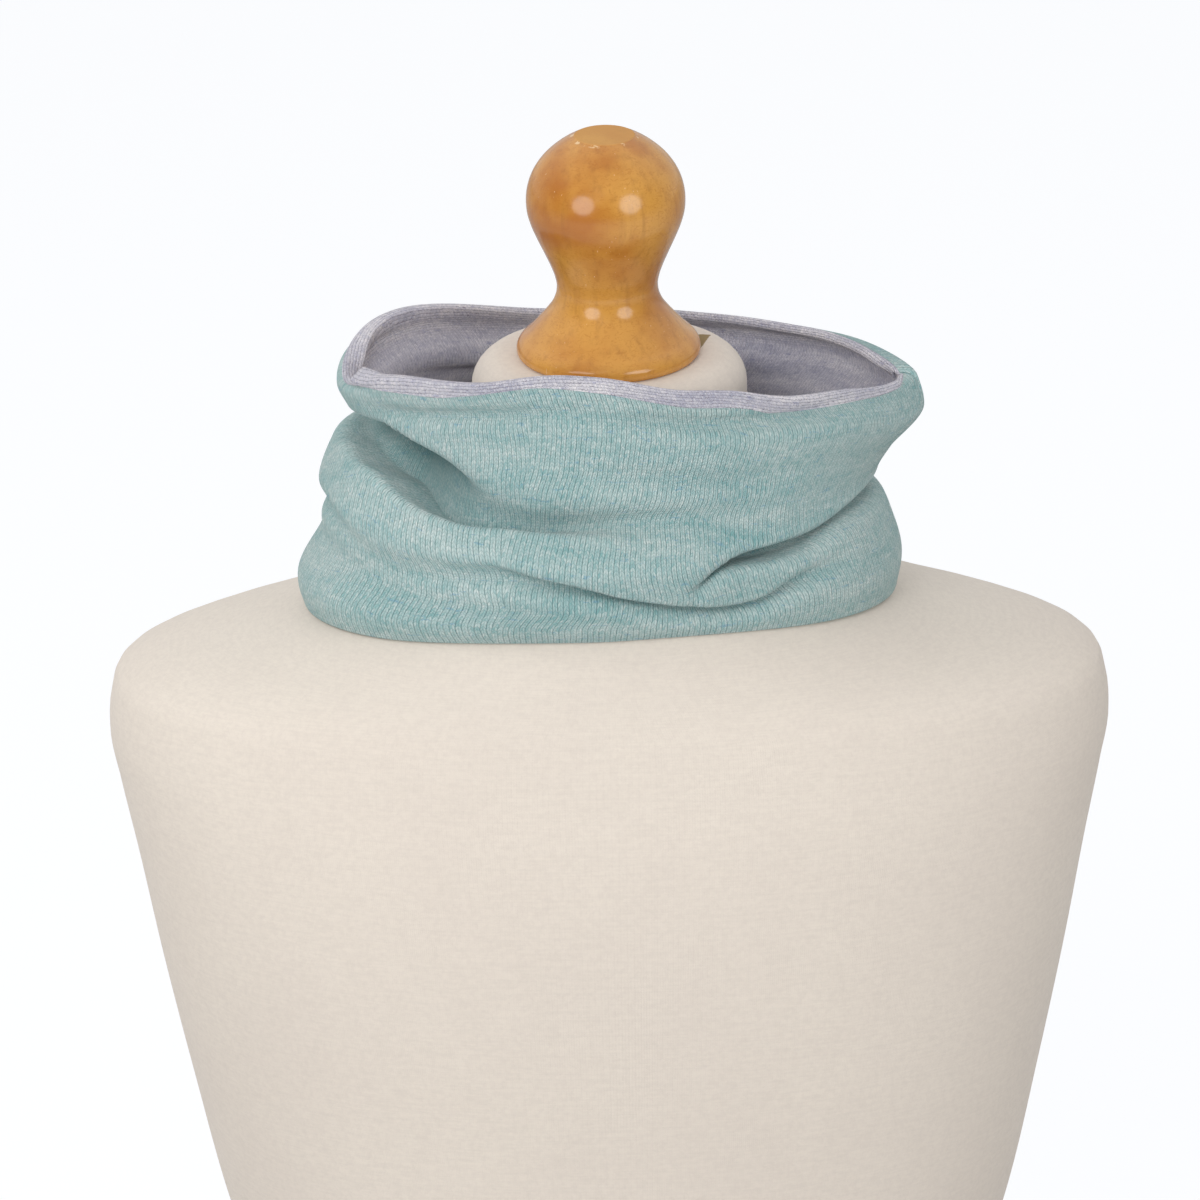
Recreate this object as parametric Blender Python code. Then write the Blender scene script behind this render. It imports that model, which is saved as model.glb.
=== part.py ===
"""A reversible knitted neck warmer, worn on a limbless dress form with a turned wood finial.

The cloth is two jersey tubes, one inside the other: an aqua shell and a grey lining that rolls over the
top edge. Tables are in millimetres; their heights count from COLLAR, the level of the shoulder line. Angles
go round the form from its right-hand side in view: 0 is +X, 90 the back, 180 is -X and 270 the front.
"""

import math

import bpy
import numpy as np

MM = 0.001
COLLAR = 400.0  # height of the shoulder line above the base
NECK_AT = 2.6  # the neck and its finial stand this far to +X

# Cloth
WALL = 1.5  # one layer of knit
SEAM_GAP = 0.3  # between layers, and between the cloth and the form
COLUMNS = 56  # round the tube
ROWS = 20  # from hem to rim
BUNCHING = 6.0  # millimetres of cloth that one radian of bend counts as
BAND = 8.0  # height of the lining that shows outside the rim
TURN_UP = 5.0  # height of the shell that is turned in at the hem
HEM_CLEAR = 0.8  # the hem's edge stands this far above the form
HEM_REACH = 0.3  # the share of the way up over which the hem settles on the form
WAVES_FROM = 0.5  # the share of the way up where the rim's waves begin

# The tube's section without its creases, one row for each level from hem to rim. Four extents and four
# heights, each at the left, right, front and back, then how pointed the two ends are: 0 round, 1 a lens.
# The hem's own heights only start it off: it settles on the form.
LEVELS = (
    # name      left  right front back  z_left z_right z_front z_back  point_left point_right
    ("hem",    -115,  110,  -72,  77,      8,     8,     12,      7,      0.0,      0.0),
    ("low",    -117,  112,  -77,  81,     16,    20,     19,     18,      0.0,      0.0),
    ("waist",  -107,  108,  -80,  77,     36,    35,     29,     34,      0.0,      0.0),
    ("roll",   -108,  104,  -83,  80,     51,    45,     42,     50,      0.0,      0.1),
    ("shelf",  -101,  103,  -71,  72,     70,    53,     58,     65,      0.0,      0.2),
    ("funnel",  -92,  109,  -64,  67,     79,    64,     80,     78,      0.0,      0.5),
    ("collar",  -95,  121,  -60,  65,     87,    79,    100,     90,     -0.1,      0.8),
    ("rim",    -100,  118,  -58,  63,     95,    92,    112,     96,     -0.2,      0.9),
)

# Where the rim rises or dips between its four sides, fading to nothing at the shelf.
RIM_WAVES = (
    # angle half_span rise
    (143,    46,      10),
    (28,     30,       3),
    (68,     30,      -2),
    (228,    30,       1),
    (305,    40,      -5),
    (214,    28,     5.5),
    (255,    15,     2.0),
    (280,    16,    -3.2),
    (304,    20,    -2.0),
    (332,    34,    -3.5),
)

# Creases: the cloth goes inward by depth and up by lift round a line at the given height.
CREASES = (
    # crease    angle  height depth lift  half_width
    ("pocket",   120,    68,    0,    0,    9),
    ("pocket",   150,    74,    8,   -3,    9),
    ("pocket",   180,    77,   11,   -4,   10),
    ("pocket",   201,    79,   12,   -5,   10),
    ("pocket",   217,    75,   14,   -7,   10),
    ("pocket",   232,    67,   12,   -7,   10),
    ("pocket",   246,    60,    8,   -6,   10),
    ("pocket",   266,    59,    6,   -2,   10),
    ("pocket",   290,    58,    2,    0,    9),
    ("pocket",   308,    56,    0,    0,    9),
    ("under",    160,    44,    0,    0,    8),
    ("under",    180,    46,    4,    0,    8),
    ("under",    203,    46,    3,    0,    8),
    ("under",    228,    39,    3,    0,    8),
    ("under",    247,    38,    5,    2,    8),
    ("under",    266,    31,    5,    3,    8),
    ("under",    286,    26,    5,    2,    7),
    ("under",    302,    27,    4,    2,    7),
    ("under",    318,    32,    3,    0,    8),
    ("under",    330,    33,    0,    0,    8),
    ("pinch",    284,    33,    0,    0,    7),
    ("pinch",    294,    40,    6,    2,    8),
    ("pinch",    304,    43,    8,    2,    9),
    ("pinch",    320,    43,    9,    2,   10),
    ("pinch",    338,    46,    9,    2,   10),
    ("pinch",    360,    46,    9,    2,    9),
    ("pinch",    385,    46,    7,    2,    9),
    ("pinch",    420,    53,    0,    0,    9),
    ("nape",      40,    36,    0,    0,    9),
    ("nape",      75,    38,    8,    3,    9),
    ("nape",     110,    40,    9,    4,    9),
    ("nape",     150,    44,    0,    0,    9),
    ("high",      20,    84,    0,    0,    9),
    ("high",      70,    80,    5,   -2,   10),
    ("high",     100,    79,    6,   -3,   10),
    ("high",     140,    88,    0,    0,    9),
)

# Dress form: its level sections, each half an ellipse to the front and half to the back.
BODY = (
    # height half_width front back squareness
    (-400,    132,      92,   80,   2.3),
    (-350,    129,      90,   78,   2.3),
    (-300,    138,      96,   86,   2.3),
    (-241,    155,     103,   96,   2.3),
    (-190,    166,     106,  103,   2.3),
    (-140,    176,     108,  108,   2.3),
    (-95,     184,     106,  106,   2.3),
    (-64,     190,     101,  102,   2.3),
    (-46,     193,      96,   96,   2.3),
    (-33,     192,      92,   91,   2.3),
    (-22,     187,      88,   87,   2.3),
    (-14,     170,      84,   83,   2.2),
    (-7,      142,      80,   80,   2.2),
    (2,       115,      76,   76,   2.2),
    (10,       99,      72,   72,   2.2),
    (20,       84,      66,   67,   2.1),
    (32,       68,      59,   61,   2.0),
    (46,       57,      53,   55,   2.0),
    (62,     52.5,      51,   52,   2.0),
    (90,     52.5,      50,   50,   2.0),
)
CAP_TOP = 102.0  # top of the neck
CAP_ROUND = 12.0  # its rounded edge
BODY_COLUMNS = 48
BODY_STEPS = (2, 2, 2, 2, 2, 2, 1, 1, 1, 1, 1, 2, 2, 2, 2, 2, 1, 1, 1)  # rings in each span above
CAP_STEPS = 4

# Finial, turned about an upright axis, from its seat to the worn flat on its crown.
KNOB = (
    # height radius
    (0.0,    33.9),
    (0.7,    34.5),
    (2.0,    34.4),
    (4.5,    33.0),
    (8.0,    30.6),
    (12.0,   27.6),
    (16.0,   24.1),
    (20.0,   21.2),
    (24.0,   19.5),
    (27.5,   19.1),
    (32.0,   19.7),
    (36.0,   21.0),
    (42.0,   23.4),
    (48.0,   26.0),
    (53.0,   28.1),
    (57.5,   29.6),
    (62.0,   30.2),
    (66.0,   29.8),
    (70.0,   28.7),
    (74.0,   26.8),
    (78.0,   23.9),
    (81.0,   20.9),
    (84.0,   17.1),
    (86.0,   13.9),
    (87.4,   11.2),
)
FINIAL_COLUMNS = 32
KNOB_RINGS = 26

# Colour, roughness
FINISHES = {
    "aqua_knit": ((0.33, 0.49, 0.48), 0.92),
    "grey_knit": ((0.47, 0.46, 0.51), 0.92),
    "cream_jersey": ((0.76, 0.70, 0.62), 0.90),
    "varnished_wood": ((0.50, 0.23, 0.05), 0.22),
}


def clear_scene():
    for thing in list(bpy.data.objects):
        bpy.data.objects.remove(thing, do_unlink=True)


def curve_through(places, values, at):
    """Values at the places asked for, on a smooth curve through the given ones that doesn't overshoot."""
    places = np.asarray(places, float)
    values = np.asarray(values, float)
    steps = np.diff(places)
    slopes = np.diff(values, axis=0) / steps.reshape((-1,) + (1,) * (values.ndim - 1))
    tangents = np.concatenate([slopes[:1], (slopes[1:] + slopes[:-1]) / 2, slopes[-1:]])
    turning = slopes[1:] * slopes[:-1] <= 0
    tangents[1:-1][turning] = 0
    at = np.clip(np.asarray(at, float), places[0], places[-1])
    span = np.clip(np.searchsorted(places, at, side="right") - 1, 0, len(steps) - 1)
    step = steps[span]
    u = (at - places[span]) / step
    if values.ndim > 1:
        u = u[..., None]
        step = step[..., None]
    ease = u * u * (3 - 2 * u)
    near = u * (1 - u) ** 2 * step * tangents[span]
    far = u * u * (u - 1) * step * tangents[span + 1]
    return values[span] * (1 - ease) + values[span + 1] * ease + near + far


def crease_shift(name, angle, height):
    """How far one crease moves the cloth inward and up at an angle and a height."""
    rows = np.array([row[1:] for row in CREASES if row[0] == name], float)
    inward = np.zeros_like(height)
    up = np.zeros_like(height)
    for turn in (0.0, 360.0):
        a = angle + turn
        level, depth, lift, half = curve_through(rows[:, 0], rows[:, 1:], a).T
        u = np.clip((height - level) / half, -1, 1)
        inside = (a >= rows[0, 0]) & (a <= rows[-1, 0])
        bump = (1 - u * u) ** 2 * inside
        inward += depth * bump
        up += lift * bump
    return inward, up


def body_sizes(height):
    """The half width, the depth to the front and to the back, and the squareness of the form at a height."""
    rows = np.array(BODY, float)
    return curve_through(rows[:, 0], rows[:, 1:], height)


def body_height(x, y):
    """The height of the form's surface under a point."""
    low = np.full_like(x, BODY[0][0])
    high = np.full_like(x, BODY[-1][0])
    for _ in range(24):
        middle = (low + high) / 2
        half_width, front, back, squareness = body_sizes(middle).T
        depth = np.where(y > 0, back, front)
        inside = np.abs(x / half_width) ** squareness + np.abs(y / depth) ** squareness < 1
        low = np.where(inside, middle, low)
        high = np.where(inside, high, middle)
    return low


def hem_rest(x, y):
    """The height of the hem's middle where its inner edge and its tip just clear the form."""
    inner = 1 - (WALL + 1.5 * SEAM_GAP) / np.hypot(x, y)
    return HEM_CLEAR + np.maximum(body_height(x * inner, y * inner), body_height(x, y) + WALL)


def rim_rise(angle):
    """How far the rim's waves lift it at an angle."""
    rise = np.zeros_like(angle)
    for at, half_span, height in RIM_WAVES:
        off = (angle - at + 180) % 360 - 180
        rise += height * np.cos(np.clip(off / half_span, -1, 1) * np.pi / 2) ** 2
    return rise


def cloth_middle(angle, along):
    """Points midway between the two layers; along goes from 0 at the hem to 1 at the rim."""
    numbers = np.array([row[1:] for row in LEVELS], float)
    levels = curve_through(np.linspace(0, 1, len(LEVELS)), numbers, along)
    left, right, front, back, z_left, z_right, z_front, z_back, point_left, point_right = levels.T
    c = np.cos(np.radians(angle))
    s = np.sin(np.radians(angle))
    point = np.where(c > 0, point_right, point_left) * c * c
    x = (right + left) / 2 + (right - left) / 2 * c
    y = np.where(s > 0, back, -front) * s * np.abs(s) ** point
    z = np.where(c > 0, z_right, z_left) * c * c + np.where(s > 0, z_back, z_front) * s * s
    z = z + rim_rise(angle) * np.clip((along - WAVES_FROM) / (1 - WAVES_FROM), 0, 1)
    settle = hem_rest(x[along == 0], y[along == 0]) - z[along == 0]
    z = z + settle * np.clip(1 - along / HEM_REACH, 0, 1)
    inward = np.zeros_like(z)
    up = np.zeros_like(z)
    for name in dict.fromkeys(row[0] for row in CREASES):
        shift = crease_shift(name, angle, z)
        inward += shift[0]
        up += shift[1]
    away = np.hypot(x, y)
    return np.stack([x - x / away * inward, y - y / away * inward, z + up], axis=-1)


def cloth_grid():
    """The middle surface, its outward normals and its upward direction, in rows from hem to rim. The second
    row is the edge of the turned-in hem and the last but one is the edge of the rolled band. Those between
    them bunch where the cloth bends."""
    fine = 30 * ROWS
    angles = np.arange(COLUMNS) * 360.0 / COLUMNS
    along = np.linspace(0, 1, fine)
    dense = np.stack([cloth_middle(np.full(fine, a), along) for a in angles], axis=1)
    step = np.linalg.norm(np.diff(dense, axis=0), axis=-1)
    way = np.diff(dense, axis=0) / step[..., None]
    bend = np.zeros_like(step)
    bend[1:] = np.linalg.norm(np.diff(way, axis=0), axis=-1)
    weight = step + BUNCHING * bend
    weight = sum(np.roll(weight, k, axis=1) for k in (-2, -1, 0, 1, 2)) / 5
    up = np.gradient(dense, axis=0)
    up /= np.linalg.norm(up, axis=-1, keepdims=True)
    facing = np.cross(np.roll(dense, -1, axis=1) - np.roll(dense, 1, axis=1), up)
    facing /= np.linalg.norm(facing, axis=-1, keepdims=True)
    grid = np.zeros((3, ROWS, COLUMNS, 3))
    for j in range(COLUMNS):
        travel = np.concatenate([[0], np.cumsum(step[:, j])])
        first = np.interp(TURN_UP, travel, np.arange(fine))
        last = np.interp(travel[-1] - BAND, travel, np.arange(fine))
        share = np.concatenate([[0], np.cumsum(weight[:, j])])
        ends = np.interp([first, last], np.arange(fine), share)
        between = np.interp(np.linspace(*ends, ROWS - 2), share, np.arange(fine))
        place = np.concatenate([[0], between, [fine - 1]])
        for k, field in enumerate((dense, facing, up)):
            for axis in range(3):
                grid[k, :, j, axis] = np.interp(place, np.arange(fine), field[:, j, axis])
    return grid


def add_object(name, points, faces, finish):
    """A smooth-shaded object from points in millimetres, whose heights count from COLLAR."""
    mesh = bpy.data.meshes.new(name)
    points = (np.asarray(points) + (0, 0, COLLAR)) * MM
    mesh.from_pydata(points.tolist(), [], faces)
    mesh.update()
    thing = bpy.data.objects.new(name, mesh)
    bpy.context.scene.collection.objects.link(thing)
    mesh.materials.append(material(finish))
    mesh.shade_smooth()
    mesh.set_sharp_from_angle(angle=math.radians(50))


def material(finish):
    """The Principled material of a finish, made once."""
    made = bpy.data.materials.get(finish)
    if made:
        return made
    colour, roughness = FINISHES[finish]
    made = bpy.data.materials.new(finish)
    made.use_nodes = True
    shader = made.node_tree.nodes["Principled BSDF"]
    shader.inputs["Base Color"].default_value = (*colour, 1.0)
    shader.inputs["Roughness"].default_value = roughness
    shader.inputs["Metallic"].default_value = 0.0
    return made


def ring_faces(rings, columns):
    """Quads between rings of points, from the first to the last, all round."""
    starts = [(i * columns, (i + 1) * columns) for i in range(rings - 1)]
    turns = [(j, (j + 1) % columns) for j in range(columns)]
    return [(low + j, low + k, high + k, high + j) for low, high in starts for j, k in turns]


def wall_faces(rows, points):
    """Triangles round a closed loop of rings, each on a row of the grid. Every quad is cut across the
    same way as the quad of the middle surface that it lies on, so that layers stay evenly apart."""
    faces = []
    for i, low_row in enumerate(rows):
        after = (i + 1) % len(rows)
        high_row = rows[after]
        for j in range(COLUMNS):
            k = (j + 1) % COLUMNS
            a, b, c, d = i * COLUMNS + j, i * COLUMNS + k, after * COLUMNS + k, after * COLUMNS + j
            rising = np.linalg.norm(points[low_row, j] - points[high_row, k])
            falling = np.linalg.norm(points[low_row, k] - points[high_row, j])
            faces += [(a, b, c), (a, c, d)] if rising <= falling else [(a, b, d), (b, c, d)]
    return faces


def knit_layer(name, grid, side, finish):
    """One knit tube. Its wall lies on one side of the middle surface, and over the last row of the grid it
    turns back along the other side as far as the last row but one. side is 1 where the wall faces out."""
    points, normals, onward = grid
    near = side * SEAM_GAP / 2
    far = side * (SEAM_GAP / 2 + WALL)
    last = ROWS - 1
    wall = list(range(2, last))
    loop = [(1, far, SEAM_GAP)]
    loop += [(row, far, 0) for row in wall]
    loop += [(last, far, 0), (last, 0, WALL), (last, -far, 0), (last - 1, -far, 0)]
    loop += [(last - 1, -near, 0), (last, -near, 0), (last, near, 0)]
    loop += [(row, near, 0) for row in reversed(wall)]
    loop += [(1, near, SEAM_GAP)]
    if side * onward[last, 0, 2] < 0:
        loop.reverse()
    rings = [points[row] + normals[row] * out + onward[row] * on for row, out, on in loop]
    add_object(name, np.concatenate(rings), wall_faces([row for row, _, _ in loop], points), finish)


def cloth():
    """The aqua shell, turned in at the hem, and the grey lining, rolled out over the rim."""
    points, normals, up = cloth_grid()
    from_rim = (points[::-1], normals[::-1], -up[::-1])
    knit_layer("outer_shell", from_rim, 1, "aqua_knit")
    knit_layer("lining", (points, normals, up), -1, "grey_knit")


def section(height, half_width, front, back, squareness):
    """A level section of the form."""
    a = np.arange(BODY_COLUMNS) * 2 * np.pi / BODY_COLUMNS
    c = np.cos(a)
    s = np.sin(a)
    x = NECK_AT * np.clip((height - 10) / 50, 0, 1) + half_width * np.sign(c) * np.abs(c) ** (2 / squareness)
    y = np.where(s > 0, back, front) * np.sign(s) * np.abs(s) ** (2 / squareness)
    return np.stack([x, y, np.full_like(x, height)], axis=-1)


def dress_form():
    """The jersey-covered body, from its flat base to the rounded top of the neck."""
    spans = zip(BODY[:-1], BODY[1:], BODY_STEPS)
    levels = [low[0] + (high[0] - low[0]) * k / n for low, high, n in spans for k in range(n)]
    rings = [section(z, *body_sizes(z)) for z in levels + [BODY[-1][0]]]
    half_width, depth = BODY[-1][1:3]
    for k in range(1, CAP_STEPS + 1):
        turn = math.pi / 2 * k / CAP_STEPS
        pulled = CAP_ROUND * (1 - math.cos(turn))
        height = CAP_TOP - CAP_ROUND + CAP_ROUND * math.sin(turn)
        rings.append(section(height, half_width - pulled, depth - pulled, depth - pulled, 2.0))
    faces = ring_faces(len(rings), BODY_COLUMNS)
    faces.append(tuple(reversed(range(BODY_COLUMNS))))
    faces.append(tuple((len(rings) - 1) * BODY_COLUMNS + j for j in range(BODY_COLUMNS)))
    add_object("dress_form", np.concatenate(rings), faces, "cream_jersey")


def finial():
    """The turned wood knob, on the neck's flat top."""
    a = np.arange(FINIAL_COLUMNS) * 2 * np.pi / FINIAL_COLUMNS
    knob = np.array(KNOB, float)
    fine = np.linspace(knob[0, 0], knob[-1, 0], 600)
    radius = curve_through(knob[:, 0], knob[:, 1], fine)
    travel = np.concatenate([[0], np.cumsum(np.hypot(np.diff(fine), np.diff(radius)))])
    levels = np.interp(np.linspace(0, travel[-1], KNOB_RINGS), travel, fine)
    seat = CAP_TOP + SEAM_GAP
    rings = [
        np.stack([NECK_AT + r * np.cos(a), r * np.sin(a), np.full_like(a, seat + z)], axis=-1)
        for z, r in zip(levels, np.interp(levels, fine, radius))
    ]
    faces = ring_faces(len(rings), FINIAL_COLUMNS)
    faces.append(tuple(reversed(range(FINIAL_COLUMNS))))
    faces.append(tuple((len(rings) - 1) * FINIAL_COLUMNS + j for j in range(FINIAL_COLUMNS)))
    add_object("wood_finial", np.concatenate(rings), faces, "varnished_wood")


def main():
    clear_scene()
    dress_form()
    finial()
    cloth()


main()
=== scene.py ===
"""Looks of a reversible knitted neck warmer on a jersey-covered dress form with a turned wood finial.

The knit tubes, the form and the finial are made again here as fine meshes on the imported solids' own shapes.
Tables are in millimetres, and their heights count from the form's shoulder line. Angles go round the form
from its right-hand side in view: 0 is +X, 90 the back, 180 is -X and 270 the front.
"""

import math

import bpy
import numpy as np
from mathutils import Matrix, Vector


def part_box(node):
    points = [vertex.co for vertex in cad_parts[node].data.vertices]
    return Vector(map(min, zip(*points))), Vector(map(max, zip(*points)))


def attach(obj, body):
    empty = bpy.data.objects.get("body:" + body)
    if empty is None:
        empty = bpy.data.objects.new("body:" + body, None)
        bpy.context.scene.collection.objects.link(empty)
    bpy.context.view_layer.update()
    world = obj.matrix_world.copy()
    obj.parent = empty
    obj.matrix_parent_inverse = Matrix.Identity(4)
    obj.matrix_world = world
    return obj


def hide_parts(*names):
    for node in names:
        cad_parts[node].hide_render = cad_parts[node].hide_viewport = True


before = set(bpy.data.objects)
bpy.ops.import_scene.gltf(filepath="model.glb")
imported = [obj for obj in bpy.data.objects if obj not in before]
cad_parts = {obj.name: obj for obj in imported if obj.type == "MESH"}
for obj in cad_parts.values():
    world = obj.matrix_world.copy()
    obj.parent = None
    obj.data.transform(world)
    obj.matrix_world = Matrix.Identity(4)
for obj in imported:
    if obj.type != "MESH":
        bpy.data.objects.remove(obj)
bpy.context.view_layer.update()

MM = 0.001
form_low, form_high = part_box("dress_form")
finial_low, finial_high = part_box("wood_finial")

# What the whole object stands on and turns about, in millimetres
CAP_TOP = 102.0  # the neck's flat top above the shoulder line
COLLAR = form_high.z / MM - CAP_TOP  # height of the shoulder line above the base
NECK_AT = (finial_low.x + finial_high.x) / 2 / MM  # the neck stands this far to +X
FINIAL_SEAT = finial_low.z / MM - COLLAR

# Cloth
WALL = 1.5  # one layer of knit
SEAM_GAP = 0.3  # between layers, and between the cloth and the form
EDGE_GAP = 0.08  # between the two layers' edges where they meet in a seam
COLUMNS = 450  # round the tube
ROWS = 124  # from hem to rim
TURN_ROWS = 5  # of them in the hem's turned-in edge
BAND_ROWS = 7  # of them in the rolled band
FOLD_STEPS = 6  # round a folded edge
KNIT_SHARP = 60  # edges bent by more degrees than this are sharp
TURNED_SHARP = 20
BUNCHING = 3.0  # millimetres of cloth that one radian of bend counts as
BUNCH_COLUMNS = 6  # the bunching evens out over this many columns each way
EASE_ROWS = 30  # the knit columns even out over this many rows each way
FULL_SHADE_DEPTH = 18.0  # a crease this deep gets the full painted shade
CREASE_SHADE_SIDES = (0.35, 1.3)  # how much painted shade a crease's lower side and its upper side get
SEAM_LEAN = 12.0  # knit columns that run into the join seam, on its left
SEAM_LEAN_SPAN = 0.12  # the share of the girth over which they lean
TURN_UP = 5.0  # height of the shell that is turned in at the hem
HEM_CLEAR = 0.8  # the hem's edge stands this far above the form
HEM_REACH = 0.3  # the share of the way up over which the hem settles on the form
WAVES_FROM = 0.5  # the share of the way up where the rim's waves begin
JOIN_AT = 249.0  # where the tube's upright join seam is
AQUA_STITCHES = (290, 88)  # knit columns round the shell, and knit rows from hem to rim
GREY_STITCHES = (400, 98)

# The tube without its creases, a row for each level from hem to rim: four extents and four heights, at the
# left, right, front and back, then how pointed the two ends are, from 0, round, to 1, a lens. The hem's
# heights only start it off, because it settles on the form.
LEVELS = (
    # name      left  right front back  z_left z_right z_front z_back  point_left point_right
    ("hem",    -115,  110,  -72,  77,      8,     8,     12,      7,      0.0,      0.0),
    ("low",    -117,  112,  -77,  81,     16,    20,     19,     18,      0.0,      0.0),
    ("waist",  -107,  108,  -80,  77,     36,    35,     29,     34,      0.0,      0.0),
    ("roll",   -108,  104,  -83,  80,     51,    45,     42,     50,      0.0,      0.1),
    ("shelf",  -101,  103,  -71,  72,     70,    53,     58,     65,      0.0,      0.2),
    ("funnel",  -92,  109,  -64,  67,     79,    64,     80,     78,      0.0,      0.5),
    ("collar",  -97,  121,  -60,  65,     87,    79,    100,     90,     -0.1,      0.8),
    ("rim",    -101,  118,  -58,  63,     95,    92,    112,     96,     -0.2,      0.9),
)

# Where the rim rises or dips between its four sides, fading to nothing at the shelf.
RIM_WAVES = (
    # angle half_span rise
    (143,    46,      10),
    (28,     30,       3),
    (68,     30,      -2),
    (228,    30,       1),
    (305,    40,      -5),
    (214,    28,     4.8),
    (195,    18,     2.0),
    (255,    15,     2.0),
    (280,    16,    -3.2),
    (304,    20,    -2.0),
    (336,    30,    -5.0),
)

# How much of the lining shows outside the rim.
BAND = (
    # angle height
    (180,    0.8),
    (198,    0.8),
    (208,    2.2),
    (218,    4.6),
    (228,    5.3),
    (236,    3.6),
    (244,    2.4),
    (251,    2.6),
    (260,    4.2),
    (273,    5.4),
    (293,    5.2),
    (312,    4.5),
    (322,    3.5),
    (331,    2.2),
    (342,    0.9),
    (360,    0.6),
    (500,    0.6),
    (540,    0.8),
)

# How much thicker the rolled edge is on the inside, where its seam edges bunch.
LIP = (
    # angle thickness
    (165,    4.0),
    (185,    5.5),
    (205,    4.0),
    (225,    1.5),
    (260,    0.8),
    (320,    0.8),
    (345,    1.6),
    (370,    1.0),
    (400,    0.4),
    (480,    0.4),
    (525,    4.0),
)
LIP_REACH = 17.0  # it fades over this height

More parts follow.
